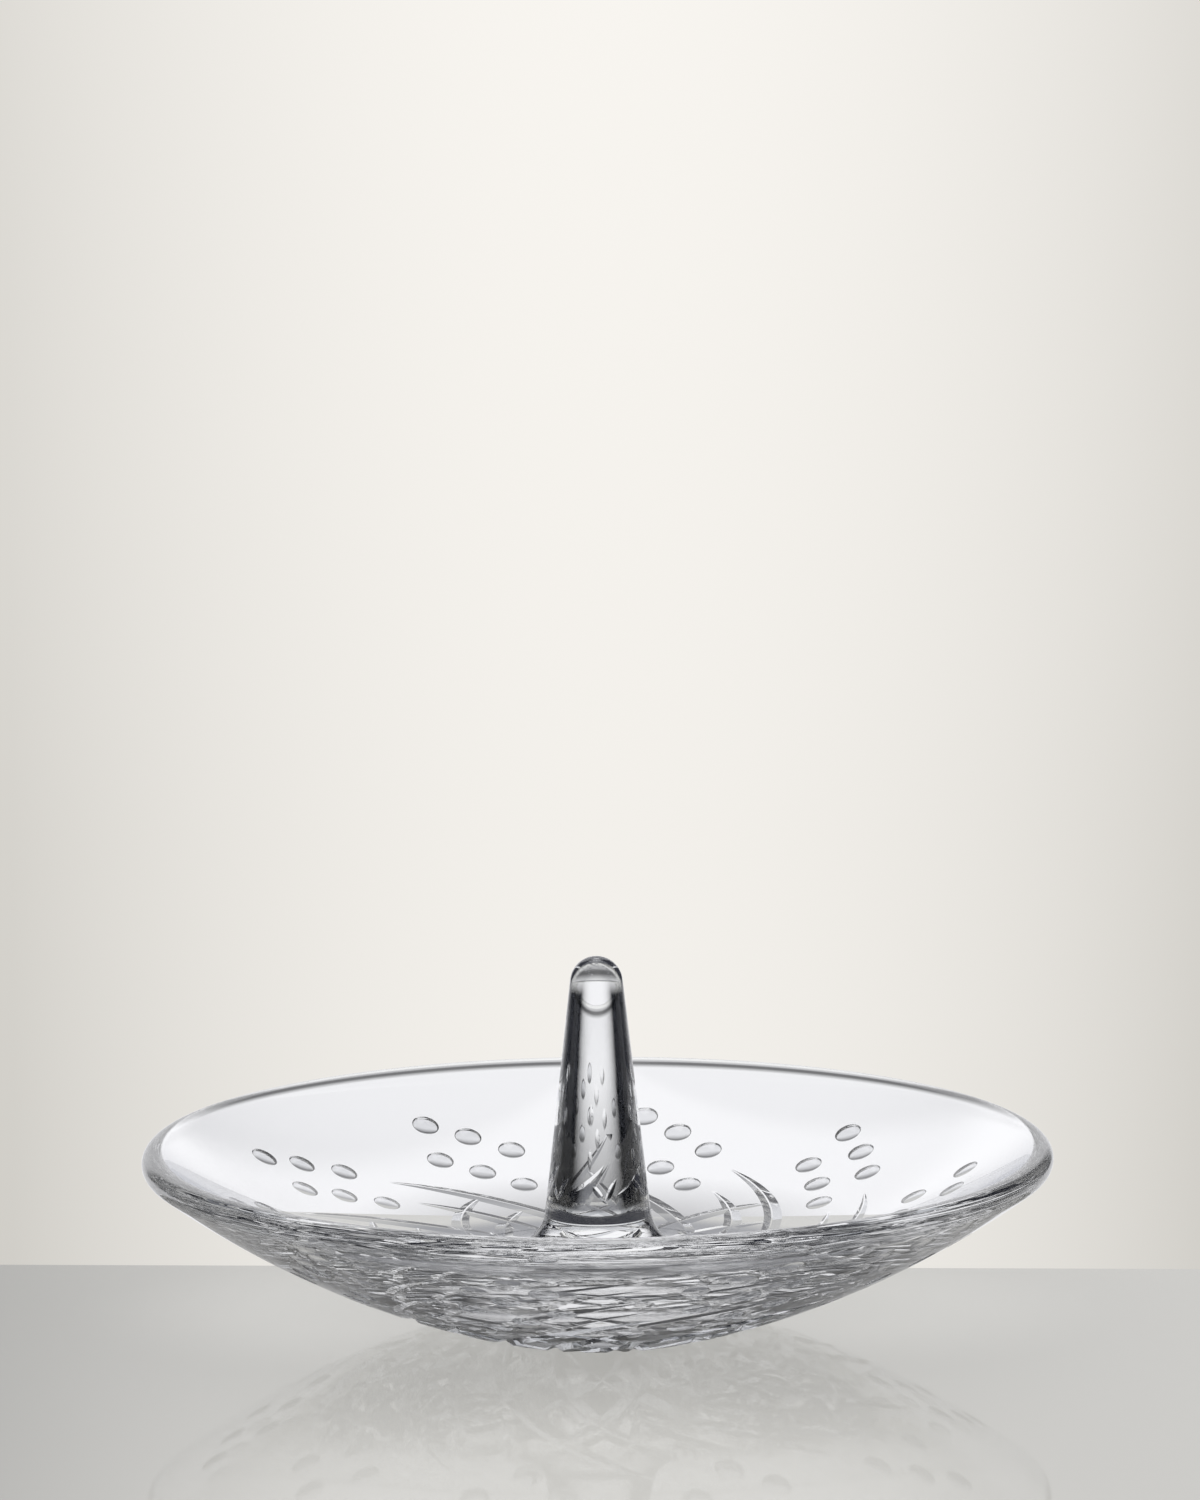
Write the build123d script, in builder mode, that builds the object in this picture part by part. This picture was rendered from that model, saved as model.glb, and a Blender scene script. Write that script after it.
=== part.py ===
from build123d import *
import os
from math import acos, atan2, cos, degrees, hypot, radians, sin, sqrt

# Ring dish of clear cut crystal: a shallow bowl on a flat ground foot, with a
# tapered post for rings bonded upright in the middle of its floor.
# Millimetres, +Z up, origin at the centre of the foot's flat underside.

# Bowl
rim_radius = 80.0
rim_height = 32.75
lip_thickness = 4.8
foot_radius = 22.0
floor_height = 12.2
seat_margin = 1.6  # flat floor left round the post's foot
foot_slope_share = 0.56  # of the straight slope from the foot's edge to the lip

# Post
post_height = 53.35
tip_radius = 4.63
shaft_radius = 9.35  # at the crease where the flare starts
crease_height = 7.45  # above the underside of the post
post_foot_radius = 14.6
post_foot_edge = 1.15
flare_hollow = 1.0

# Bond between the post and the floor
film_thickness = 0.15
film_setback = 0.3

# One overrun serves every cutter
overrun = 1.0

# Round hollows cut in the underside of the bowl, seen through the wall as two
# slanting rows. Each place is a share of the way from the foot to the rim and a
# share of one repeat of the pattern.
bowl_repeats = 10
bowl_pattern_start = 154.5
hollow_radius = 2.6
hollow_depth = 0.65
hollow_place_shares = [
    (0.803, 0.0),
    (0.738, -0.17),
    (0.664, -0.355),
    (0.645, 0.045),
    (0.566, -0.14),
    (0.481, -0.34),
]

# Curved blades cut in the underside, each given as tip, middle and root in the
# same shares. They deepen from a pointed tip and run out over the foot's edge.
blade_depths = (0.0, 0.95, 0.8)
blade_run_out = 5.0
blade_half_angle = 60.0
blade_bottom_width = 0.3
blade_place_shares = [
    ((0.578, 0.458), (0.345, -0.208), (0.026, -1.028)),
    ((0.448, 0.456), (0.267, 0.042), (0.026, -0.336)),
    ((0.431, -0.03), (0.284, 0.375), (0.026, 0.669)),
    ((0.319, -0.231), (0.19, 0.097), (0.026, 0.389)),
]

# Upright olives on the post. Each place is a share of the shaft's height above
# the crease and a share of one repeat round the post.
post_repeats = 6
post_pattern_start = 270.0
olive_length = 3.4
olive_width = 0.8
olive_depth = 0.14
olive_place_shares = [
    (0.62, 0.133),
    (0.537, -0.017),
    (0.455, -0.133),
    (0.438, 0.167),
    (0.355, 0.0),
    (0.268, -0.158),
]

# Blades on the post: one long curved cut and a short pair that meets below it
post_blade_depths = (0.0, 0.22, 0.14)
post_blade_run_out = 1.0
post_blade_half_angle = 66.0
post_blade_bottom_width = 0.1
post_blade_place_shares = [
    ((0.35, 0.3), (0.205, 0.0), (0.125, -0.55)),
    ((0.175, -0.18), (0.143, -0.04), (0.105, 0.1)),
    ((0.185, 0.38), (0.15, 0.28), (0.105, 0.17)),
]

# Bowl outline: two arcs joined by the round of the lip
lip_radius = lip_thickness / 2
lip_centre = Vector(rim_radius - lip_radius, rim_height - lip_radius)
foot_corner = Vector(foot_radius, 0)
seat_radius = post_foot_radius + seat_margin
seat_corner = Vector(seat_radius, floor_height)

foot_to_lip = lip_centre - foot_corner
foot_slope = foot_slope_share * atan2(foot_to_lip.Y, foot_to_lip.X)
foot_normal = Vector(-sin(foot_slope), cos(foot_slope))
outer_curve = (foot_to_lip.length**2 - lip_radius**2) / (2 * (foot_to_lip.dot(foot_normal) - lip_radius))
outer_centre = foot_corner + foot_normal * outer_curve
outer_end = outer_centre + (lip_centre - outer_centre).normalized() * outer_curve

seat_to_lip = lip_centre - seat_corner
inner_curve = (seat_to_lip.length**2 - lip_radius**2) / (2 * (seat_to_lip.Y + lip_radius))
inner_centre = seat_corner + Vector(0, inner_curve)
inner_end = inner_centre + (lip_centre - inner_centre).normalized() * inner_curve

# Post outline: a dome that runs straight into the taper, a crease and a flare
post_base = floor_height + film_thickness
crease = Vector(shaft_radius, post_base + crease_height)
dome_height = post_base + post_height - tip_radius
shaft_rise = dome_height - crease.Y
taper = acos(tip_radius / hypot(shaft_radius, shaft_rise)) - atan2(shaft_rise, shaft_radius)
dome_edge = Vector(tip_radius * cos(taper), dome_height + tip_radius * sin(taper))
foot_edge_top = Vector(post_foot_radius, post_base + post_foot_edge)


def wall_frame(reach_share):
    """Point on the bowl's underside at angle 0, and the way out of the glass there."""
    radius = foot_radius + reach_share * (rim_radius - foot_radius)
    height = outer_centre.Y - sqrt(outer_curve**2 - (radius - outer_centre.X) ** 2)
    point = Vector(radius, 0, height)
    outward = (point - Vector(outer_centre.X, 0, outer_centre.Y)).normalized()
    return point, outward


def shaft_frame(rise_share):
    """Point on the post's tapered side at angle 0, and the way out of the glass there."""
    side = dome_edge - crease
    place = crease + side * rise_share
    return Vector(place.X, 0, place.Y), Vector(cos(taper), 0, sin(taper))


def turned(vector, angle):
    return vector.rotate(Axis.Z, angle)


def station(frame, place_shares, repeat_angle, depth):
    """Point at a depth under the surface that frame gives, turned to its place."""
    point, outward = frame(place_shares[0])
    return turned(point - outward * depth, place_shares[1] * repeat_angle)


def groove_cutter(frame, place_shares, repeat_angle, depths, run_out, half_angle, bottom_width):
    """Ring with a V section, narrow at its bottom, along the circle through tip, middle and root."""
    tip, middle, root = (
        station(frame, shares, repeat_angle, depth) for shares, depth in zip(place_shares, depths)
    )
    bottom = Edge.make_three_point_arc(tip, middle, root)
    centre = bottom.arc_center
    travel_axis = (middle - tip).cross(root - middle).normalized()
    # The section opens straight out of the glass at the middle of the groove
    outward = turned(frame(place_shares[1][0])[1], place_shares[1][1] * repeat_angle)
    opening = atan2(travel_axis.dot(outward), (middle - centre).normalized().dot(outward))
    wall_length = (max(depths) + overrun) / cos(radians(half_angle))
    corners = []
    for side, reach in ((-1, 0), (-1, wall_length), (1, wall_length), (1, 0)):
        wall = opening + side * radians(half_angle)
        out = reach * cos(wall) - side * bottom_width / 2 * sin(opening)
        along = reach * sin(wall) + side * bottom_width / 2 * cos(opening)
        corners.append((bottom.radius + out, along))
    lead = degrees(run_out / bottom.radius)
    start = (tip - centre).normalized().rotate(Axis((0, 0, 0), travel_axis), -lead)
    with BuildPart() as cutter:
        with BuildSketch(Plane(origin=centre, x_dir=start, z_dir=start.cross(travel_axis))):
            with BuildLine():
                Polyline(*corners, close=True)
            make_face()
        swing = degrees(bottom.length / bottom.radius) + 2 * lead
        revolve(axis=Axis(centre, travel_axis), revolution_arc=swing)
    return cutter.part


def cap_radius(half_width, depth):
    """Radius of the circle that leaves a cap of this half width and depth."""
    return (half_width**2 + depth**2) / (2 * depth)


def olive_cutter(rise_share):
    """Spindle that stands off the post's side and dips in by the olive's depth."""
    belly = cap_radius(olive_width / 2, olive_depth)
    curve = cap_radius(olive_length / 2, olive_depth)
    half_length = sqrt(curve**2 - (curve - belly) ** 2)
    point, outward = shaft_frame(rise_share)
    middle = point + outward * (belly - olive_depth)
    along = Plane(origin=middle, x_dir=outward, z_dir=(0, -1, 0))
    with BuildPart() as cutter:
        with BuildSketch(along):
            with BuildLine():
                ThreePointArc((0, -half_length), (belly, 0), (0, half_length))
                Line((0, half_length), (0, -half_length))
            make_face()
        revolve(axis=Axis(middle, along.y_dir))
    return cutter.part


ball_radius = cap_radius(hollow_radius, hollow_depth)
bowl_repeat_angle = 360 / bowl_repeats
blades = [
    groove_cutter(
        wall_frame,
        shares,
        bowl_repeat_angle,
        blade_depths,
        blade_run_out,
        blade_half_angle,
        blade_bottom_width,
    )
    for shares in blade_place_shares
]

with BuildPart() as dish:
    with BuildSketch(Plane.XZ):
        with BuildLine():
            Line((0, 0), foot_corner)
            TangentArc(foot_corner, outer_end, tangent=(cos(foot_slope), sin(foot_slope)))
            lip_way = (outer_end - outer_centre).rotate(Axis.Z, 90).normalized()
            TangentArc(outer_end, inner_end, tangent=lip_way)
            TangentArc(seat_corner, inner_end, tangent=(1, 0))
            Polyline(seat_corner, (0, floor_height), (0, 0))
        make_face()
    revolve(axis=Axis.Z)
    for reach_share, turn_share in hollow_place_shares:
        point, outward = wall_frame(reach_share)
        place_angle = bowl_pattern_start + turn_share * bowl_repeat_angle
        with PolarLocations(0, bowl_repeats, start_angle=place_angle):
            with Locations(point + outward * (ball_radius - hollow_depth)):
                Sphere(ball_radius, rotation=(90, 0, 0), mode=Mode.SUBTRACT)
    for blade in blades:
        with PolarLocations(0, bowl_repeats, start_angle=bowl_pattern_start):
            add(blade, mode=Mode.SUBTRACT)
dish.part.label = "dish"

with BuildPart() as bond_film:
    with BuildSketch(Plane.XY.offset(floor_height)):
        Circle(post_foot_radius - film_setback)
    extrude(amount=film_thickness)
bond_film.part.label = "bond_film"

post_repeat_angle = 360 / post_repeats
olives = [(olive_cutter(rise_share), turn_share) for rise_share, turn_share in olive_place_shares]
post_blades = [
    groove_cutter(
        shaft_frame,
        shares,
        post_repeat_angle,
        post_blade_depths,
        post_blade_run_out,
        post_blade_half_angle,
        post_blade_bottom_width,
    )
    for shares in post_blade_place_shares
]

with BuildPart() as ring_post:
    with BuildSketch(Plane.XZ):
        with BuildLine():
            Polyline((0, post_base), (post_foot_radius, post_base), foot_edge_top)
            SagittaArc(foot_edge_top, crease, flare_hollow)
            Line(crease, dome_edge)
            TangentArc(dome_edge, (0, dome_height + tip_radius), tangent=(-sin(taper), cos(taper)))
            Line((0, dome_height + tip_radius), (0, post_base))
        make_face()
    revolve(axis=Axis.Z)
    for olive, turn_share in olives:
        place_angle = post_pattern_start + turn_share * post_repeat_angle
        with PolarLocations(0, post_repeats, start_angle=place_angle):
            add(olive, mode=Mode.SUBTRACT)
    for blade in post_blades:
        with PolarLocations(0, post_repeats, start_angle=post_pattern_start):
            add(blade, mode=Mode.SUBTRACT)
ring_post.part.label = "ring_post"

os.makedirs("parts", exist_ok=True)
export_step(dish.part, "parts/dish.step")
export_step(bond_film.part, "parts/bond_film.step")
export_step(ring_post.part, "parts/ring_post.step")
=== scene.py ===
import math
import bmesh
import bpy
from mathutils import Matrix, Vector


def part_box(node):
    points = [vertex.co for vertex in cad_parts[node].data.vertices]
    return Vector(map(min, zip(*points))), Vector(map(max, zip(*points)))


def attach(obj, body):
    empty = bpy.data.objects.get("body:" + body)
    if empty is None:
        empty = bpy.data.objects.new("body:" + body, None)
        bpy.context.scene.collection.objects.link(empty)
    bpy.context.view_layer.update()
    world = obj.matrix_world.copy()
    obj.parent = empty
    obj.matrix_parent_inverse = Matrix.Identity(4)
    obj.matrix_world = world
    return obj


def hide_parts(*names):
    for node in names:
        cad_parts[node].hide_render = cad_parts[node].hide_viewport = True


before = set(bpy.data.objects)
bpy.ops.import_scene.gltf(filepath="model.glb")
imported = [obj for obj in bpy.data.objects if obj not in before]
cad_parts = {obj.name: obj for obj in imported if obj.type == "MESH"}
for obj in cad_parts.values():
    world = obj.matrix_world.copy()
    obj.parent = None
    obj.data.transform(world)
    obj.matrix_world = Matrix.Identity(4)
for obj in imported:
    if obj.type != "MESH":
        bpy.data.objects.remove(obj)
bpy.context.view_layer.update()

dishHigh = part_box("dish")[1]
filmLow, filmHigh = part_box("bond_film")
postLow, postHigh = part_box("ring_post")
upAxis = Vector((0, 0, 1))
sideAxis = Vector((0, 1, 0))
oneVertex = 1e-7  # vertices nearer to each other than this are merged
sameLevel = 1e-6  # a face nearer to a level than this lies on it
cutterOverrun = 0.001  # how far a groove's cutter stands out of the glass
fewestSteps = 6  # along a groove, however short it is


# shader helpers

def addNode(tree, kind, place, **settings):
    node = tree.nodes.new(kind)
    node.location = place
    for name, value in settings.items():
        setattr(node, name, value)
    return node


def feed(tree, socket, value):
    if isinstance(value, bpy.types.NodeSocket):
        tree.links.new(value, socket)
    else:
        socket.default_value = value


def mathNode(tree, operation, place, *values):
    node = addNode(tree, "ShaderNodeMath", place, operation=operation)
    for socket, value in zip(node.inputs, values):
        feed(tree, socket, value)
    return node.outputs[0]


def vectorNode(tree, operation, place, *values):
    node = addNode(tree, "ShaderNodeVectorMath", place, operation=operation)
    for socket, value in zip(node.inputs, values):
        feed(tree, socket, value)
    return node.outputs["Value" if operation in ("LENGTH", "DISTANCE") else "Vector"]


def rampNode(tree, value, place, low, high, smooth=True):
    kind = "SMOOTHSTEP" if smooth else "LINEAR"
    node = addNode(tree, "ShaderNodeMapRange", place, interpolation_type=kind)
    node.inputs["From Min"].default_value = low
    node.inputs["From Max"].default_value = high
    tree.links.new(value, node.inputs["Value"])
    return node.outputs["Result"]


def mixNode(tree, factor, place, first, second, kind="RGBA"):
    node = addNode(tree, "ShaderNodeMix", place, data_type=kind)
    tree.links.new(factor, node.inputs["Factor"])
    for name, value in (("A", first), ("B", second)):
        socket = [item for item in node.inputs if item.name == name and item.type == kind][0]
        feed(tree, socket, value)
    return [item for item in node.outputs if item.type == kind][0]


def partsOf(tree, vector, place):
    node = addNode(tree, "ShaderNodeSeparateXYZ", place)
    tree.links.new(vector, node.inputs["Vector"])
    return node.outputs


def newGroup(name, inputs, outputs):
    group = bpy.data.node_groups.new(name, "ShaderNodeTree")
    for direction, sockets in (("INPUT", inputs), ("OUTPUT", outputs)):
        for label, kind in sockets:
            group.interface.new_socket(name=label, in_out=direction, socket_type="NodeSocket" + kind)
    return group


surface = {
    "rippleDetail": 1.0,
    "rippleHeight": 0.001,
    "dustScale": 400.0,
    "dustDetail": 4.0,
    "dustEdges": (0.45, 0.7),
}


# slow waves that a fire polished surface keeps, as a normal
def makeRippleGroup():
    inputs = [("Coordinates", "Vector"), ("Scale", "Float"), ("Strength", "Float")]
    group = newGroup("polishedRipple", inputs, [("Normal", "Vector")])
    start = addNode(group, "NodeGroupInput", (-800, 0))
    end = addNode(group, "NodeGroupOutput", (400, 0))
    noise = addNode(group, "ShaderNodeTexNoise", (-400, 0))
    noise.inputs["Detail"].default_value = surface["rippleDetail"]
    bump = addNode(group, "ShaderNodeBump", (100, 0))
    bump.inputs["Distance"].default_value = surface["rippleHeight"]
    group.links.new(start.outputs["Coordinates"], noise.inputs["Vector"])
    group.links.new(start.outputs["Scale"], noise.inputs["Scale"])
    group.links.new(noise.outputs["Fac"], bump.inputs["Height"])
    group.links.new(start.outputs["Strength"], bump.inputs["Strength"])
    group.links.new(bump.outputs["Normal"], end.inputs["Normal"])
    return group


# grey that comes and goes, for dust and fine rubbing
def makeDustGroup():
    inputs = [("Coordinates", "Vector"), ("Scale", "Float"), ("Low", "Float"), ("High", "Float")]
    group = newGroup("dustMask", inputs, [("Mask", "Float")])
    start = addNode(group, "NodeGroupInput", (-800, 0))
    end = addNode(group, "NodeGroupOutput", (400, 0))
    noise = addNode(group, "ShaderNodeTexNoise", (-400, 0))
    noise.inputs["Detail"].default_value = surface["dustDetail"]
    spread = addNode(group, "ShaderNodeMapRange", (0, 0))
    spread.inputs["From Min"].default_value = surface["dustEdges"][0]
    spread.inputs["From Max"].default_value = surface["dustEdges"][1]
    group.links.new(start.outputs["Coordinates"], noise.inputs["Vector"])
    group.links.new(start.outputs["Scale"], noise.inputs["Scale"])
    group.links.new(noise.outputs["Fac"], spread.inputs["Value"])
    group.links.new(start.outputs["Low"], spread.inputs["To Min"])
    group.links.new(start.outputs["High"], spread.inputs["To Max"])
    group.links.new(spread.outputs["Result"], end.inputs["Mask"])
    return group


rippleGroup = makeRippleGroup()
dustGroup = makeDustGroup()

# a finish is the scale and strength of its ripples, then its least and most roughness
crystal = {
    "color": (0.983, 0.986, 0.986, 1),
    "ior": 1.545,
    "polished": (55.0, 0.015, 0.0, 0.002),
    "cut": (300.0, 0.02, 0.0, 0.004),
    "cutRound": (500.0, 0.05, 0.0, 0.004),
    "ground": (900.0, 0.1, 0.05, 0.2),
    # painted shade: the cut faces are tinted grey, so that they pass less light than the clear glass
    "bladeShadeColor": (0.5, 0.515, 0.54, 1),
    "hollowShadeColor": (0.64, 0.65, 0.67, 1),
    # painted shade: the dark tint that the glass gets where it is seen along its surface, and the
    # facing at which it comes in
    "grazingShadeColor": (0.22, 0.232, 0.265, 1),
    "grazingShadeFacing": (0.7, 0.95),
}
# where two pieces are bonded, light goes straight on
bond = {
    "color": (1, 1, 1, 1),
    "ior": 1.0,
    "finish": (900.0, 0.0, 0.0, 0.0),
}


def glassMaterial(name, color, finish, ior=crystal["ior"]):
    rippleScale, rippleStrength, lowRough, highRough = finish
    material = bpy.data.materials.new(name)
    material.use_nodes = True
    tree = material.node_tree
    shader = tree.nodes["Principled BSDF"]
    shader.inputs["Base Color"].default_value = color
    shader.inputs["IOR"].default_value = ior
    shader.inputs["Transmission Weight"].default_value = 1.0
    coordinates = addNode(tree, "ShaderNodeTexCoord", (-900, 0))
    ripple = addNode(tree, "ShaderNodeGroup", (-500, -200), node_tree=rippleGroup)
    ripple.inputs["Scale"].default_value = rippleScale
    ripple.inputs["Strength"].default_value = rippleStrength
    dust = addNode(tree, "ShaderNodeGroup", (-500, 200), node_tree=dustGroup)
    dust.inputs["Scale"].default_value = surface["dustScale"]
    dust.inputs["Low"].default_value = lowRough
    dust.inputs["High"].default_value = highRough
    tree.links.new(coordinates.outputs["Object"], ripple.inputs["Coordinates"])
    tree.links.new(coordinates.outputs["Object"], dust.inputs["Coordinates"])
    tree.links.new(dust.outputs["Mask"], shader.inputs["Roughness"])
    tree.links.new(ripple.outputs["Normal"], shader.inputs["Normal"])
    return material


# painted shade: the wall's colour is darkened where it is seen along its surface
def makeWallFinishAndShade():
    material = glassMaterial("polishedCrystal", crystal["color"], crystal["polished"])
    tree = material.node_tree
    layer = addNode(tree, "ShaderNodeLayerWeight", (-900, 500))
    turned = rampNode(tree, layer.outputs["Facing"], (-700, 500), *crystal["grazingShadeFacing"])
    color = mixNode(tree, turned, (-200, 500), crystal["color"], crystal["grazingShadeColor"])
    tree.links.new(color, tree.nodes["Principled BSDF"].inputs["Base Color"])
    return material


wallFinishAndShade = makeWallFinishAndShade()
# the blade and hollow finishes carry that painted shade in their grey tint
bladeFinishAndShade = glassMaterial("cutBlade", crystal["bladeShadeColor"], crystal["cut"])
hollowFinishAndShade = glassMaterial("cutHollow", crystal["hollowShadeColor"], crystal["cutRound"])
footFinish = glassMaterial("groundFoot", crystal["color"], crystal["ground"])
bondFinish = glassMaterial("bondedFace", bond["color"], bond["finish"], bond["ior"])


# mesh helpers

def spinVert(mesh, vert, centre, angle, steps):
    made = bmesh.ops.spin(
        mesh, geom=[vert], cent=centre, axis=sideAxis, angle=angle, steps=steps, use_merge=False
    )
    return [item for item in made["geom_last"] if isinstance(item, bmesh.types.BMVert)][0]


def lineTo(mesh, vert, x, z, steps=1):
    start = vert.co.copy()
    end = Vector((x, 0, z))
    for step in range(1, steps + 1):
        nextVert = mesh.verts.new(start.lerp(end, step / steps))
        mesh.edges.new((vert, nextVert))
        vert = nextVert
    return vert


def mendMesh(mesh):
    bmesh.ops.remove_doubles(mesh, verts=mesh.verts, dist=oneVertex)
    bmesh.ops.recalc_face_normals(mesh, faces=mesh.faces)


def turnOnAxis(mesh, steps):
    bmesh.ops.spin(
        mesh, geom=mesh.verts[:] + mesh.edges[:], cent=(0, 0, 0), axis=upAxis,
        angle=math.tau, steps=steps, use_merge=True,
    )
    mendMesh(mesh)


def liesAt(face, height, radius):
    centre = face.calc_center_median()
    return abs(centre.z - height) < sameLevel and math.hypot(centre.x, centre.y) < radius


def slotOf(values, name):
    return list(values["finishes"]).index(name)


def toObject(mesh, name, materials):
    data = bpy.data.meshes.new(name)
    mesh.to_mesh(data)
    mesh.free()
    piece = bpy.data.objects.new(name, data)
    bpy.context.scene.collection.objects.link(piece)
    for material in materials:
        data.materials.append(material)
    return piece


# the cutter, once for each repeat of the pattern
def ringOf(mesh, values):
    unit = bpy.data.meshes.new("unit")
    mesh.to_mesh(unit)
    mesh.free()
    whole = bmesh.new()
    for index in range(values["repeats"]):
        before = len(whole.verts)
        whole.from_mesh(unit)
        turn = Matrix.Rotation(values["start"] + index * math.tau / values["repeats"], 4, "Z")
        bmesh.ops.transform(whole, matrix=turn, verts=whole.verts[before:])
    return toObject(whole, "cutter", values["finishes"].values())


# a cut keeps the finish that its cutter's faces have
def cutAllRound(piece, cutters, values):
    for mesh in cutters:
        cutter = ringOf(mesh, values)
        modifier = piece.modifiers.new("cut", "BOOLEAN")
        modifier.operation = "DIFFERENCE"
        modifier.solver = "MANIFOLD"
        modifier.material_mode = "INDEX"
        modifier.object = cutter
        graph = bpy.context.evaluated_depsgraph_get()
        data = bpy.data.meshes.new_from_object(piece.evaluated_get(graph))
        piece.modifiers.clear()
        piece.data = data
        bpy.data.objects.remove(cutter)


def finishPiece(piece, sharpAngle):
    for face in piece.data.polygons:
        face.use_smooth = True
    piece.data.set_sharp_from_angle(angle=sharpAngle)


# a point this deep in the glass, at shares of the way up the surface and of one repeat's angle
def station(frameAt, shares, repeatAngle, depth):
    point, outward = frameAt(shares[0])
    spun = Matrix.Rotation(shares[1] * repeatAngle, 3, "Z")
    return spun @ (point - outward * depth)


# a V with a narrow flat bottom, that follows the circle through tip, middle and root
def grooveCutter(frameAt, shares, values):
    repeatAngle = math.tau / values["repeats"]
    halfAngle = values["bladeHalfAngle"]
    halfBottom = values["bladeBottomWidth"] / 2
    places = zip(shares, values["bladeDepths"])
    tip, middle, root = [station(frameAt, place, repeatAngle, depth) for place, depth in places]
    first, second = middle - tip, root - tip
    across = first.cross(second)
    centre = tip + (
        (first.length_squared * second - second.length_squared * first).cross(across)
        / (2 * across.length_squared)
    )
    radius = (tip - centre).length
    axis = across.normalized()
    outward = Matrix.Rotation(shares[1][1] * repeatAngle, 3, "Z") @ frameAt(shares[1][0])[1]
    opening = math.atan2(axis.dot(outward), (middle - centre).normalized().dot(outward))
    swing = (tip - centre).angle(middle - centre) + (middle - centre).angle(root - centre)
    lead = values["bladeRunOut"] / radius
    swing += 2 * lead
    start = Matrix.Rotation(-lead, 3, axis) @ (tip - centre).normalized()
    wallLength = (max(values["bladeDepths"]) + cutterOverrun) / math.cos(halfAngle)
    mesh = bmesh.new()
    corners = []
    for side, top in ((-1, False), (-1, True), (1, True), (1, False)):
        wall = opening + side * halfAngle
        out = -side * halfBottom * math.sin(opening) + top * wallLength * math.cos(wall)
        along = side * halfBottom * math.cos(opening) + top * wallLength * math.sin(wall)
        corners.append(mesh.verts.new(centre + start * (radius + out) + axis * along))
    face = mesh.faces.new(corners)
    bmesh.ops.spin(
        mesh, geom=[face] + face.edges[:] + face.verts[:], cent=centre, axis=axis, angle=swing,
        steps=max(fewestSteps, round(swing * radius / values["bladeStep"])), use_duplicate=False,
    )
    mendMesh(mesh)
    for face in mesh.faces:
        spot = face.calc_center_median() - centre
        along = spot.dot(axis)
        isBottom = math.hypot((spot - axis * along).length - radius, along) < halfBottom
        face.material_index = slotOf(values, "plain" if isBottom else "cut")
    return mesh


# the bowl: lengths in metres, and places as shares of the way from foot to rim and of one repeat
bowl = {
    "footRadius": 0.022,
    "footFlatShare": 0.75,  # of the foot's radius, after which its rings are finer
    "footSlopeShare": 0.56,  # how steeply the wall leaves the foot, of the slope from foot to lip
    "seatRadius": 0.0162,  # where the inner curve meets the floor
    "lipThickness": 0.0048,
    "footSteps": 3,
    "wallSteps": 54,
    "lipSteps": 14,
    "turnSteps": 360,
    "sharpAngle": math.radians(16),
    "repeats": 10,
    "start": math.radians(154.5),
    "hollowRadius": 0.0026,
    "hollowDepth": 0.00065,
    "hollowTurnSteps": 48,
    "hollowRiseSteps": 32,
    "hollowShares": [
        (0.803, 0.0), (0.738, -0.17), (0.664, -0.355),
        (0.645, 0.045), (0.566, -0.14), (0.481, -0.34),
    ],
    "bladeDepths": (0.0, 0.00095, 0.0008),
    "bladeRunOut": 0.005,
    "bladeHalfAngle": math.radians(60),
    "bladeBottomWidth": 0.0003,
    "bladeStep": 0.0007,
    # tip, middle and root of each blade
    "bladeShares": [
        ((0.578, 0.458), (0.345, -0.208), (0.026, -1.028)),
        ((0.448, 0.456), (0.267, 0.042), (0.026, -0.336)),
        ((0.431, -0.03), (0.284, 0.375), (0.026, 0.669)),
        ((0.319, -0.231), (0.19, 0.097), (0.026, 0.389)),
    ],
    "finishes": {
        "plain": wallFinishAndShade,
        "cut": bladeFinishAndShade,
        "foot": footFinish,
        "bond": bondFinish,
        "hollow": hollowFinishAndShade,
    },
}
bowl["rimRadius"] = dishHigh.x
bowl["rimHeight"] = dishHigh.z
bowl["floorHeight"] = filmLow.z
bowl["bondRadius"] = filmHigh.x


# two arcs joined by the round of the lip
def bowlOutline():
    lipRadius = bowl["lipThickness"] / 2
    lip = Vector((bowl["rimRadius"] - lipRadius, 0, bowl["rimHeight"] - lipRadius))
    foot = Vector((bowl["footRadius"], 0, 0))
    seat = Vector((bowl["seatRadius"], 0, bowl["floorHeight"]))
    span = lip - foot
    slope = bowl["footSlopeShare"] * math.atan2(span.z, span.x)
    normal = Vector((-math.sin(slope), 0, math.cos(slope)))
    outerCurve = (span.length_squared - lipRadius ** 2) / (2 * (span.dot(normal) - lipRadius))
    outerCentre = foot + normal * outerCurve
    span = lip - seat
    innerCurve = (span.length_squared - lipRadius ** 2) / (2 * (span.z + lipRadius))
    innerCentre = seat + upAxis * innerCurve
    outerLean = math.atan2(lip.x - outerCentre.x, outerCentre.z - lip.z)
    innerLean = math.atan2(lip.x - innerCentre.x, innerCentre.z - lip.z)
    return {
        "lip": lip, "foot": foot, "outerCurve": outerCurve, "outerCentre": outerCentre,
        "innerCentre": innerCentre, "wallTurn": slope - outerLean,
        "lipTurn": outerLean - innerLean - math.pi, "floorTurn": innerLean,
    }


outline = bowlOutline()


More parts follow.
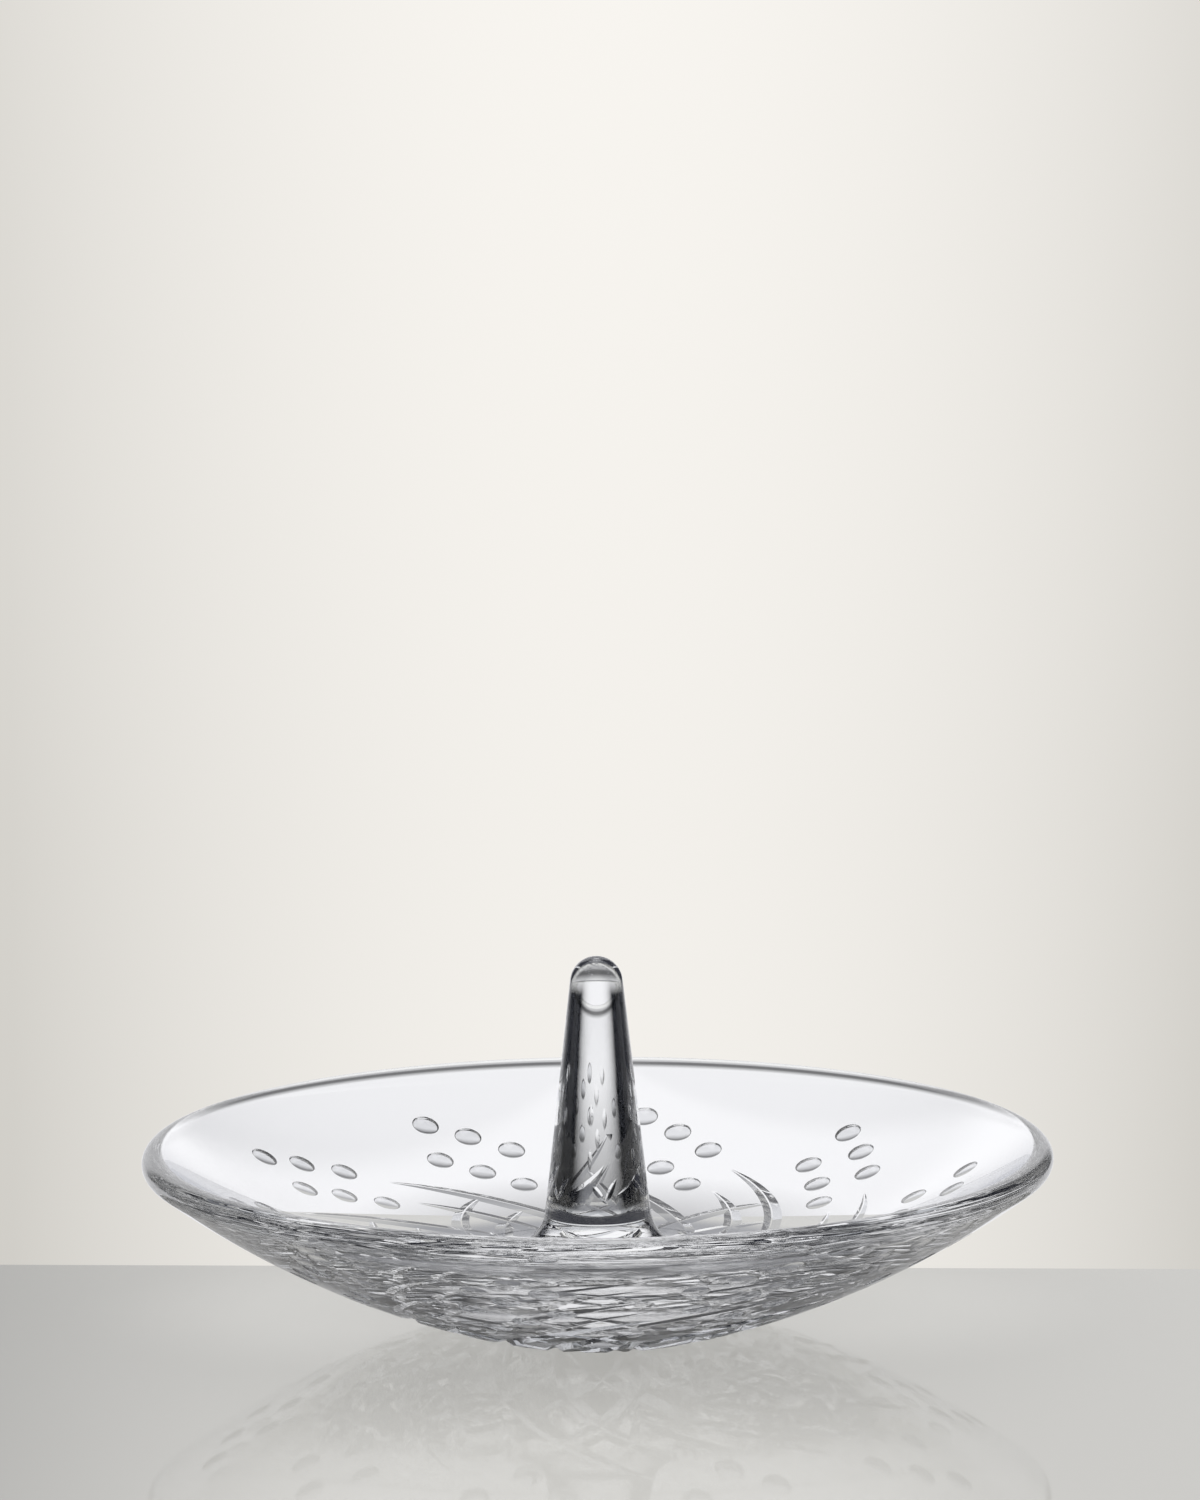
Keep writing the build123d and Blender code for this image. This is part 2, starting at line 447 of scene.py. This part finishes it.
def makeBowlBlank():
    mesh = bmesh.new()
    vert = mesh.verts.new((0, 0, 0))
    vert = lineTo(mesh, vert, outline["foot"].x * bowl["footFlatShare"], 0)
    vert = lineTo(mesh, vert, outline["foot"].x, 0, bowl["footSteps"])
    vert = spinVert(mesh, vert, outline["outerCentre"], outline["wallTurn"], bowl["wallSteps"])
    vert = spinVert(mesh, vert, outline["lip"], outline["lipTurn"], bowl["lipSteps"])
    vert = spinVert(mesh, vert, outline["innerCentre"], outline["floorTurn"], bowl["wallSteps"])
    vert = lineTo(mesh, vert, bowl["bondRadius"], bowl["floorHeight"])
    lineTo(mesh, vert, 0, bowl["floorHeight"])
    turnOnAxis(mesh, bowl["turnSteps"])
    for face in mesh.faces:
        if liesAt(face, 0, bowl["footRadius"]):
            face.material_index = slotOf(bowl, "foot")
        elif liesAt(face, bowl["floorHeight"], bowl["bondRadius"]):
            face.material_index = slotOf(bowl, "bond")
    return toObject(mesh, "crystal_bowl", bowl["finishes"].values())


def wallFrame(reachShare):
    reach = bowl["footRadius"] + reachShare * (bowl["rimRadius"] - bowl["footRadius"])
    centre = outline["outerCentre"]
    height = centre.z - math.sqrt(outline["outerCurve"] ** 2 - (reach - centre.x) ** 2)
    point = Vector((reach, 0, height))
    return point, (point - centre).normalized()


# a flattened ball, half sunk in the wall
def hollowCutter(reachShare, turnShare):
    point, outward = wallFrame(reachShare)
    repeatAngle = math.tau / bowl["repeats"]
    mesh = bmesh.new()
    bmesh.ops.create_uvsphere(
        mesh, u_segments=bowl["hollowTurnSteps"], v_segments=bowl["hollowRiseSteps"], radius=1
    )
    flat = Matrix.Diagonal((bowl["hollowRadius"], bowl["hollowRadius"], bowl["hollowDepth"], 1))
    lean = outward.to_track_quat("Z", "Y").to_matrix().to_4x4()
    turn = Matrix.Rotation(turnShare * repeatAngle, 4, "Z")
    seat = Matrix.Translation(point)
    bmesh.ops.transform(mesh, matrix=turn @ seat @ lean @ flat, verts=mesh.verts)
    for face in mesh.faces:
        face.material_index = slotOf(bowl, "hollow")
    return mesh


def makeBowl():
    piece = makeBowlBlank()
    cutters = [hollowCutter(*place) for place in bowl["hollowShares"]]
    cutters += [grooveCutter(wallFrame, shares, bowl) for shares in bowl["bladeShares"]]
    cutAllRound(piece, cutters, bowl)
    finishPiece(piece, bowl["sharpAngle"])
    return piece


dishPiece = makeBowl()
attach(dishPiece, "root")
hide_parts("dish")
print("bowl cut,", len(dishPiece.data.polygons), "faces")

# the post: lengths in metres, and places as shares of the way from crease to dome and of one repeat
post = {
    "tipRadius": 0.00463,
    "shaftRadius": 0.00935,
    "creaseHeight": 0.00745,  # of the line between flare and shaft
    "footEdge": 0.00115,  # height of the foot's upright edge
    "flareHollow": 0.001,  # how far the flare dips in from a straight line
    "edgeSteps": 2,
    "flareSteps": 16,
    "shaftSteps": 60,
    "domeSteps": 16,
    "turnSteps": 192,
    "sharpAngle": math.radians(16),
    "repeats": 6,
    "start": math.radians(270),
    "oliveLength": 0.0034,
    "oliveWidth": 0.0008,
    "oliveDepth": 0.00014,
    "oliveSteps": 40,
    "oliveTurnSteps": 48,
    "oliveShares": [
        (0.62, 0.133), (0.537, -0.017), (0.455, -0.133),
        (0.438, 0.167), (0.355, 0.0), (0.268, -0.158),
    ],
    "bladeDepths": (0.0, 0.00022, 0.00014),
    "bladeRunOut": 0.001,
    "bladeHalfAngle": math.radians(66),
    "bladeBottomWidth": 0.0001,
    "bladeStep": 0.0003,
    # tip, middle and root of each blade
    "bladeShares": [
        ((0.35, 0.3), (0.205, 0.0), (0.125, -0.55)),
        ((0.175, -0.18), (0.143, -0.04), (0.105, 0.1)),
        ((0.185, 0.38), (0.15, 0.28), (0.105, 0.17)),
    ],
    # painted shade on the far side of the shaft where it is seen aslant: its colour, the facing at
    # which it comes in, and where it fades in above the crease and out below the dome
    "sideShadeColor": (0.0011, 0.0012, 0.0016, 1),
    "sideShadeFacing": (0.04, 0.098),
    "sideShadeAboveCrease": (-0.0035, 0.0),
    "sideShadeAboveDome": (0.0009, -0.0036),
    # painted shade at the flare's corners: its colour, and the facing at which it comes in
    "flareShadeColor": (0.012, 0.0123, 0.0142, 1),
    "flareShadeFacing": (0.36, 0.55),
}
post["footRadius"] = postHigh.x
post["base"] = postLow.z
post["top"] = postHigh.z


# a hollow flare, a cone above its crease and a dome that the cone meets smoothly
def postOutline():
    crease = Vector((post["shaftRadius"], 0, post["base"] + post["creaseHeight"]))
    tip = post["tipRadius"]
    domeHeight = post["top"] - tip
    rise = domeHeight - crease.z
    taper = math.acos(tip / math.hypot(crease.x, rise)) - math.atan2(rise, crease.x)
    domeCentre = Vector((0, 0, domeHeight))
    domeEdge = Vector((tip * math.cos(taper), 0, domeHeight + tip * math.sin(taper)))
    edgeTop = Vector((post["footRadius"], 0, post["base"] + post["footEdge"]))
    chord = crease - edgeTop
    hollow = post["flareHollow"]
    flareCurve = (chord.length_squared / 4 + hollow ** 2) / (2 * hollow)
    outwardOfChord = Vector((-chord.z, 0, chord.x)).normalized()
    if outwardOfChord.x < 0:
        outwardOfChord.negate()
    flareCentre = (crease + edgeTop) / 2 + outwardOfChord * (flareCurve - hollow)
    return crease, taper, domeCentre, domeEdge, edgeTop, flareCentre


crease, taper, domeCentre, domeEdge, edgeTop, flareCentre = postOutline()


# the normal that the shaft has where it isn't cut, turned inwards
def smoothShaftNormal(tree, parts):
    flat = addNode(tree, "ShaderNodeCombineXYZ", (-700, -600))
    tree.links.new(parts["X"], flat.inputs["X"])
    tree.links.new(parts["Y"], flat.inputs["Y"])
    unit = vectorNode(tree, "NORMALIZE", (-500, -600), flat.outputs["Vector"])
    level = (-math.cos(taper), -math.cos(taper), 0)
    return vectorNode(tree, "MULTIPLY_ADD", (-300, -600), unit, level, (0, 0, -math.sin(taper)))


# the far side of the shaft bends light as if it were uncut, so that only the near cuts show,
# and painted shade darkens its colour where light leaves it aslant, for light that comes from the
# dark sides of the room
def makeShaftFinishAndShade(name, finish):
    material = glassMaterial(name, crystal["color"], finish)
    tree = material.node_tree
    shader = tree.nodes["Principled BSDF"]
    ripple = shader.inputs["Normal"].links[0].from_socket
    parts = partsOf(tree, tree.nodes["Texture Coordinate"].outputs["Object"], (-900, 900))
    farSide = addNode(tree, "ShaderNodeNewGeometry", (-700, 1400)).outputs["Backfacing"]
    smooth = smoothShaftNormal(tree, parts)
    aboveCrease = mathNode(tree, "GREATER_THAN", (-700, -900), parts["Z"], crease.z)
    belowDome = mathNode(tree, "LESS_THAN", (-700, -1100), parts["Z"], domeEdge.z)
    shaft = mathNode(tree, "MULTIPLY", (-500, -1000), aboveCrease, belowDome)
    shaft = mathNode(tree, "MULTIPLY", (-300, -1000), shaft, farSide)
    normal = mixNode(tree, shaft, (-100, -600), ripple, smooth, "VECTOR")
    tree.links.new(normal, shader.inputs["Normal"])
    creaseEdges = [crease.z + above for above in post["sideShadeAboveCrease"]]
    domeEdges = [domeEdge.z + above for above in post["sideShadeAboveDome"]]
    aboveCrease = rampNode(tree, parts["Z"], (-700, 900), *creaseEdges)
    belowDome = rampNode(tree, parts["Z"], (-700, 1200), *domeEdges)
    shaft = mathNode(tree, "MULTIPLY", (-500, 1000), aboveCrease, belowDome)
    shaft = mathNode(tree, "MULTIPLY", (-300, 1000), shaft, farSide)
    layer = addNode(tree, "ShaderNodeLayerWeight", (-900, 500))
    tree.links.new(smooth, layer.inputs["Normal"])
    turned = rampNode(tree, layer.outputs["Facing"], (-700, 500), *post["sideShadeFacing"])
    edge = mathNode(tree, "MULTIPLY", (-500, 700), turned, shaft)
    color = mixNode(tree, edge, (-200, 500), crystal["color"], post["sideShadeColor"])
    tree.links.new(color, shader.inputs["Base Color"])
    return material


# painted shade: the flare under the shaft is darkened at its corners, where it is seen aslant
def darkenFlare(material):
    tree = material.node_tree
    color = tree.nodes["Principled BSDF"].inputs["Base Color"]
    parts = partsOf(tree, tree.nodes["Texture Coordinate"].outputs["Object"], (-900, 1700))
    layer = addNode(tree, "ShaderNodeLayerWeight", (-900, 1500))
    turned = rampNode(tree, layer.outputs["Facing"], (-700, 1600), *post["flareShadeFacing"])
    belowCrease = mathNode(tree, "LESS_THAN", (-700, 1800), parts["Z"], crease.z)
    edge = mathNode(tree, "MULTIPLY", (-500, 1600), turned, belowCrease)
    dark = mixNode(tree, edge, (0, 1600), color.links[0].from_socket, post["flareShadeColor"])
    tree.links.new(dark, color)


post["finishes"] = {
    "plain": makeShaftFinishAndShade("postCrystal", crystal["polished"]),
    "cut": makeShaftFinishAndShade("postCut", crystal["cut"]),
    "bond": bondFinish,
}
darkenFlare(post["finishes"]["plain"])


def makePostBlank():
    mesh = bmesh.new()
    flareTurn = (edgeTop - flareCentre).angle(crease - flareCentre)
    vert = mesh.verts.new((0, 0, post["base"]))
    vert = lineTo(mesh, vert, bowl["bondRadius"], post["base"])
    vert = lineTo(mesh, vert, post["footRadius"], post["base"])
    vert = lineTo(mesh, vert, edgeTop.x, edgeTop.z, post["edgeSteps"])
    vert = spinVert(mesh, vert, flareCentre, flareTurn, post["flareSteps"])
    vert = lineTo(mesh, vert, domeEdge.x, domeEdge.z, post["shaftSteps"])
    vert = spinVert(mesh, vert, domeCentre, taper - math.pi / 2, post["domeSteps"])
    turnOnAxis(mesh, post["turnSteps"])
    for face in mesh.faces:
        if liesAt(face, post["base"], bowl["bondRadius"]):
            face.material_index = slotOf(post, "bond")
    return toObject(mesh, "crystal_post", post["finishes"].values())


def shaftFrame(riseShare):
    return crease.lerp(domeEdge, riseShare), Vector((math.cos(taper), 0, math.sin(taper)))


# a spindle that dips its belly into the shaft
def oliveCutter(riseShare, turnShare):
    depth = post["oliveDepth"]
    belly = ((post["oliveWidth"] / 2) ** 2 + depth ** 2) / (2 * depth)
    curve = ((post["oliveLength"] / 2) ** 2 + depth ** 2) / (2 * depth)
    half = math.sqrt(curve ** 2 - (curve - belly) ** 2)
    point, outward = shaftFrame(riseShare)
    repeatAngle = math.tau / post["repeats"]
    mesh = bmesh.new()
    vert = mesh.verts.new((0, 0, -half))
    spinVert(mesh, vert, (belly - curve, 0, 0), -2 * math.asin(half / curve), post["oliveSteps"])
    turnOnAxis(mesh, post["oliveTurnSteps"])
    seat = Matrix.Translation(point + outward * (belly - depth)) @ Matrix.Rotation(-taper, 4, "Y")
    turn = Matrix.Rotation(turnShare * repeatAngle, 4, "Z")
    bmesh.ops.transform(mesh, matrix=turn @ seat, verts=mesh.verts)
    for face in mesh.faces:
        face.material_index = slotOf(post, "cut")
    return mesh


def makePost():
    piece = makePostBlank()
    cutters = [oliveCutter(*place) for place in post["oliveShares"]]
    cutters += [grooveCutter(shaftFrame, shares, post) for shares in post["bladeShares"]]
    cutAllRound(piece, cutters, post)
    finishPiece(piece, post["sharpAngle"])
    return piece


postPiece = makePost()
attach(postPiece, "root")
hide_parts("ring_post")
print("post cut,", len(postPiece.data.polygons), "faces")

# the film of clear adhesive under the post
film = {
    "faceGap": 0.00001,  # keeps its faces off the glass, where light would be caught between them
    "levelShare": 0.5,  # a face is level where its normal's rise is more than this
    "sharpAngle": math.radians(30),
    "color": (1, 0.995, 0.98, 1),
    "ior": 1.5,
    "finish": (600.0, 0.05, 0.0, 0.02),
}
film["finishes"] = {
    "edge": glassMaterial("clearBond", film["color"], film["finish"], film["ior"]),
    "bond": bondFinish,
}


def makeFilm():
    mesh = bmesh.new()
    low = filmLow.z + film["faceGap"]
    high = filmHigh.z - film["faceGap"]
    vert = mesh.verts.new((0, 0, low))
    vert = lineTo(mesh, vert, filmHigh.x, low)
    vert = lineTo(mesh, vert, filmHigh.x, high)
    lineTo(mesh, vert, 0, high)
    turnOnAxis(mesh, bowl["turnSteps"])
    for face in mesh.faces:
        if abs(face.normal.z) > film["levelShare"]:
            face.material_index = slotOf(film, "bond")
    piece = toObject(mesh, "clear_bond_film", film["finishes"].values())
    finishPiece(piece, film["sharpAngle"])
    return piece


filmPiece = makeFilm()
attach(filmPiece, "root")
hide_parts("bond_film")
print("film made")

# places on the table are measured from under the post, with the camera towards -Y
table = {
    "width": 1.6,
    "depth": 1.8,
    "thickness": 0.02,
    "back": 0.0445,  # how far it goes on behind the middle of the dish
    "turn": math.radians(-2.6),
    "gap": 0.00004,  # keeps its top off the foot
    "edge": 0.0006,
    "edgeSteps": 3,
    "color": (0.54, 0.53, 0.505, 1),
    # painted shade on the table's -X side, in its colour and in its glow
    "shadedSideColor": (0.27, 0.265, 0.25, 1),
    "glow": (0.617, 0.61, 0.583, 1),
    "shadedSideGlow": (0.44, 0.435, 0.415, 1),
    "glowShare": 0.6,  # how much of what the camera sees of it is an even glow
    "roughness": 0.035,
    "shadedSideEdges": (-0.13, -0.045),
    "throughGlass": (0.235, 0.24, 0.262, 1),
    "underDish": (0.038, 0.04, 0.05, 1),
    "shadeShift": (0, 0.012, 0),
    "underDishEdges": (0.028, 0.042),
    "shadeEdges": (0.050, 0.059),
    "thrownLight": (0.81, 0.82, 0.845, 1),
    "thrownStart": (0.015, 0.019),
    "thrownEnd": (0.042, 0.037),
    # centre, outer and inner reach, and strength
    "thrownSpots": [
        ((0, -0.115, 0), (0.078, 0.028), 0.24),
        ((0.046, 0.012, 0), (0.05, 0.012), 0.17),
    ],
}


def makeTableTop():
    mesh = bmesh.new()
    bmesh.ops.create_cube(mesh, size=1)
    size = Vector((table["width"], table["depth"], table["thickness"]))
    turn = Matrix.Rotation(table["turn"], 3, "Z")
    bmesh.ops.scale(mesh, vec=size, verts=mesh.verts)
    bmesh.ops.bevel(
        mesh, geom=mesh.edges[:], offset=table["edge"], segments=table["edgeSteps"], profile=0.5,
        affect="EDGES", material=-1,
    )
    bmesh.ops.translate(mesh, vec=(0, -size.y / 2, -size.z / 2), verts=mesh.verts)
    bmesh.ops.rotate(mesh, cent=(0, 0, 0), matrix=turn, verts=mesh.verts)
    bmesh.ops.translate(mesh, vec=(0, table["back"], -table["gap"]), verts=mesh.verts)
    return toObject(mesh, "table", [makeTableFinish()])


# what the glass shows of the table: the shade under the dish, and light thrown behind its foot
def tableThroughGlass(tree, coordinates, parts, plain):
    shifted = vectorNode(tree, "ADD", (-1100, -300), coordinates, table["shadeShift"])
    reach = vectorNode(tree, "LENGTH", (-900, -300), shifted)
    lit = rampNode(tree, reach, (-700, -300), *table["underDishEdges"])
    shade = mixNode(tree, lit, (-500, -300), table["underDish"], table["throughGlass"])
    behind = rampNode(tree, parts["Y"], (-900, -600), *table["thrownStart"])
    within = rampNode(tree, reach, (-900, -900), *table["thrownEnd"])
    thrown = mathNode(tree, "MULTIPLY", (-700, -700), behind, within)
    shade = mixNode(tree, thrown, (-300, -500), shade, table["thrownLight"])
    beyond = rampNode(tree, reach, (-300, -900), *table["shadeEdges"])
    return mixNode(tree, beyond, (-100, -500), shade, plain)


# light that the dish throws before its foot and either side of it
def thrownOnTable(tree, parts, cameraRay):
    folded = addNode(tree, "ShaderNodeCombineXYZ", (-900, -1200))
    tree.links.new(mathNode(tree, "ABSOLUTE", (-1100, -1200), parts["X"]), folded.inputs["X"])
    tree.links.new(parts["Y"], folded.inputs["Y"])
    lift = 1.0
    for centre, edges, share in table["thrownSpots"]:
        away = vectorNode(tree, "DISTANCE", (-700, -1200), folded.outputs["Vector"], centre)
        spot = rampNode(tree, away, (-500, -1200), *edges)
        spot = mathNode(tree, "MULTIPLY", (-300, -1200), spot, cameraRay)
        lift = mathNode(tree, "MULTIPLY_ADD", (-100, -1200), spot, share, lift)
    return lift


def makeTableFinish():
    material = bpy.data.materials.new("tableTop")
    material.use_nodes = True
    tree = material.node_tree
    shader = tree.nodes["Principled BSDF"]
    shader.inputs["Roughness"].default_value = table["roughness"]
    coordinates = addNode(tree, "ShaderNodeTexCoord", (-1300, 0)).outputs["Object"]
    parts = partsOf(tree, coordinates, (-1100, 0))
    path = addNode(tree, "ShaderNodeLightPath", (-500, 300))
    cameraRay = path.outputs["Is Camera Ray"]
    glassRay = path.outputs["Is Transmission Ray"]
    # painted shade: the table darkens towards its -X side, in its colour and in its glow
    fade = rampNode(tree, parts["X"], (-500, 0), *table["shadedSideEdges"])
    color = mixNode(tree, fade, (-250, 0), table["shadedSideColor"], table["color"])
    tree.links.new(color, shader.inputs["Base Color"])
    plain = mixNode(tree, fade, (-250, -150), table["shadedSideGlow"], table["glow"])
    throughGlass = tableThroughGlass(tree, coordinates, parts, plain)
    glow = addNode(tree, "ShaderNodeEmission", (200, -300))
    tree.links.new(mixNode(tree, glassRay, (0, -300), plain, throughGlass), glow.inputs["Color"])
    tree.links.new(thrownOnTable(tree, parts, cameraRay), glow.inputs["Strength"])
    share = mathNode(tree, "MULTIPLY", (-200, 300), cameraRay, table["glowShare"])
    share = mathNode(tree, "MAXIMUM", (0, 300), share, glassRay)
    blend = addNode(tree, "ShaderNodeMixShader", (400, 0))
    tree.links.new(share, blend.inputs["Fac"])
    tree.links.new(shader.outputs["BSDF"], blend.inputs[1])
    tree.links.new(glow.outputs["Emission"], blend.inputs[2])
    tree.links.new(blend.outputs["Shader"], tree.nodes["Material Output"].inputs["Surface"])
    return material


tableTop = makeTableTop()
print("table made")

# directions are unit vectors with +Y behind the dish, and most edges here are their X, Y or Z
room = {
    "backdropColor": (0.94, 0.915, 0.873, 1),
    "backdropShadeColor": (0.735, 0.715, 0.675, 1),
    "backdropCentre": 0.0015,
    "backdropSide": (0.0, 0.0105),
    "fallEdges": (0, -0.15),
    "fallShare": 0.22,
    "cornerEdges": (-0.08, -0.26),
    "cornerShare": 0.3,
    "mostFade": 1.5,
    "roomLight": (0.88, 0.88, 0.88, 1),
    "glassLight": (0.99, 0.99, 0.985, 1),
    "frontLightShare": 0.25,
    "backEdges": (0.05, 0.6),
    "upperBack": (1.0, 1.0, 1.0, 1),
    "upperFront": (0.07, 0.073, 0.08, 1),
    "upperEdges": (0.25, 0.45),
    "upperBackEdges": (-0.1, 0.3),
    "flagColor": (0.013, 0.014, 0.02, 1),
    "flagTurn": math.radians(-4.5),
    "flagEdges": (0.35, 0.72),
    "flagLowEdge": (-0.13, -0.06),
    "sideFlagEdges": (0.08, 0.25),
    # how far down, and how light it is there
    "underStops": [(0.38, 1.0), (0.56, 0.2), (0.64, 0.2), (0.72, 0.6), (0.80, 0.6), (0.88, 0.4)],
    "underBlueShare": 1.03,
    "underBackEdges": (0.5, 0.65),
    "noShade": (1, 1, 1, 1),
    "scatteredFrom": 0.5,
    "bounces": 32,
}


# the pale backdrop that the camera sees, with painted shade that dims it at its sides and towards
# the table
def backdropColor(tree, seen):
    across = mathNode(tree, "SUBTRACT", (-1600, 300), seen["X"], room["backdropCentre"])
    side = mathNode(tree, "MULTIPLY", (-1500, 300), across, across)
    side = rampNode(tree, side, (-1300, 300), *room["backdropSide"], smooth=False)
    fall = rampNode(tree, seen["Z"], (-1500, 700), *room["fallEdges"], smooth=False)
    fall = mathNode(tree, "MULTIPLY", (-1300, 700), fall, room["fallShare"])
    corner = rampNode(tree, seen["Z"], (-1500, 500), *room["cornerEdges"])
    corner = mathNode(tree, "MULTIPLY", (-1300, 500), corner, room["cornerShare"])
    corner = mathNode(tree, "MULTIPLY_ADD", (-1200, 500), corner, side, fall)
    fade = mathNode(tree, "ADD", (-1100, 400), side, corner)
    fade = mathNode(tree, "MINIMUM", (-900, 400), fade, room["mostFade"])
    color = mixNode(tree, fade, (-700, 400), room["backdropColor"], room["backdropShadeColor"])
    color.node.clamp_factor = False
    return color


# dark flags four times round, where twice the heading has a large sine, but not below the table
def flagShare(tree, x, y, aboveTable):
    xx = mathNode(tree, "MULTIPLY", (-1300, -100), x, x)
    yy = mathNode(tree, "MULTIPLY", (-1300, -300), y, y)
    flat = mathNode(tree, "ADD", (-1100, -100), xx, yy)
    flat = mathNode(tree, "POWER", (-900, -100), flat, 2.0)
    wave = mathNode(tree, "MULTIPLY", (-1100, -300), xx, yy)
    wave = mathNode(tree, "MULTIPLY", (-900, -300), wave, 4.0)
    wave = mathNode(tree, "DIVIDE", (-700, -200), wave, flat)
    flags = rampNode(tree, wave, (-500, -200), *room["flagEdges"])
    sideFlags = rampNode(tree, wave, (-500, 200), *room["sideFlagEdges"])
    atSide = mathNode(tree, "GREATER_THAN", (-500, -900), xx, yy)
    flags = mixNode(tree, atSide, (-300, 200), flags, sideFlags)
    return mathNode(tree, "MULTIPLY", (-100, 300), flags, aboveTable)


# bands of shade that the glass sees low at the back
def underShade(tree, z, seen):
    ramp = addNode(tree, "ShaderNodeValToRGB", (-300, -700))
    tree.links.new(mathNode(tree, "MULTIPLY", (-500, -700), z, -1.0), ramp.inputs["Fac"])
    stops = ramp.color_ramp.elements
    halfWay = 0.5  # where a new stop starts, before it gets its own place
    while len(stops) < len(room["underStops"]):
        stops.new(halfWay)
    for stop, (place, level) in zip(stops, room["underStops"]):
        stop.position = place
        stop.color = (level, level, level * room["underBlueShare"], 1)
    atBack = rampNode(tree, seen["Y"], (-100, -900), *room["underBackEdges"])
    return mixNode(tree, atBack, (100, -700), room["noShade"], ramp.outputs["Color"])


# what the glass sees: a bright back, a dim front and dark flags
def glassRoom(tree, coordinates, seen):
    turned = addNode(tree, "ShaderNodeVectorRotate", (-1700, -200), rotation_type="Z_AXIS")
    turned.inputs["Angle"].default_value = room["flagTurn"]
    tree.links.new(coordinates, turned.inputs["Vector"])
    x, y, z = partsOf(tree, turned.outputs["Vector"], (-1500, -200))
    aboveTable = rampNode(tree, seen["Z"], (-300, 400), *room["flagLowEdge"])
    belowTable = mathNode(tree, "SUBTRACT", (-500, 900), 1.0, aboveTable)
    flags = flagShare(tree, x, y, aboveTable)
    back = rampNode(tree, seen["Y"], (-500, 0), *room["backEdges"])
    back = mathNode(tree, "MAXIMUM", (-400, 0), back, belowTable)
    front = [room["frontLightShare"] * v for v in room["glassLight"][:3]] + [1]
    light = mixNode(tree, back, (-300, -100), front, room["glassLight"])
    upperBack = rampNode(tree, seen["Y"], (-500, 350), *room["upperBackEdges"])
    above = mixNode(tree, upperBack, (-300, -300), room["upperFront"], room["upperBack"])
    upper = rampNode(tree, z, (-500, -450), *room["upperEdges"])
    light = mixNode(tree, upper, (-100, -300), light, above)
    light = mixNode(tree, flags, (100, -300), light, room["flagColor"])
    return vectorNode(tree, "MULTIPLY", (300, -300), light, underShade(tree, z, seen))


def makeWorld():
    world = bpy.data.worlds.new("studio")
    bpy.context.scene.world = world
    world.use_nodes = True
    tree = world.node_tree
    coordinates = addNode(tree, "ShaderNodeTexCoord", (-1900, 0)).outputs["Generated"]
    seen = partsOf(tree, coordinates, (-1700, 300))
    path = addNode(tree, "ShaderNodeLightPath", (-100, 700))
    throughGlass = glassRoom(tree, coordinates, seen)
    direct = backdropColor(tree, seen)
    light = mixNode(tree, path.outputs["Is Camera Ray"], (500, 0), throughGlass, direct)
    depth = path.outputs["Diffuse Depth"]
    scattered = mathNode(tree, "GREATER_THAN", (500, 700), depth, room["scatteredFrom"])
    light = mixNode(tree, scattered, (700, 0), light, room["roomLight"])
    tree.links.new(light, tree.nodes["Background"].inputs["Color"])


makeWorld()
print("room made")

# the camera stands on the -Y side and looks down a little at the dish
view = {
    "distance": 1.0,
    "height": 0.2409,
    "across": 0.0009,
    "pitch": math.radians(7.9),
    "roll": math.radians(-0.38),
    "focalPixels": 5795,
    "imageHeight": 1500,
    "sensorWidth": 36,
    "nearest": 0.01,
    "furthest": 20,
}


def makeCamera():
    lens = bpy.data.cameras.new("camera")
    lens.sensor_width = view["sensorWidth"]
    lens.lens = view["focalPixels"] / view["imageHeight"] * lens.sensor_width
    lens.clip_start = view["nearest"]
    lens.clip_end = view["furthest"]
    camera = bpy.data.objects.new("camera", lens)
    bpy.context.scene.collection.objects.link(camera)
    place = Matrix.Translation((view["across"], -view["distance"], view["height"]))
    look = Matrix.Rotation(math.pi / 2 - view["pitch"], 4, "X")
    camera.matrix_world = place @ look @ Matrix.Rotation(view["roll"], 4, "Z")
    bpy.context.scene.camera = camera


makeCamera()
print("camera set")

scene = bpy.context.scene
scene.view_settings.view_transform = "Standard"
scene.cycles.max_bounces = room["bounces"]
scene.cycles.transmission_bounces = room["bounces"]
scene.cycles.glossy_bounces = room["bounces"]
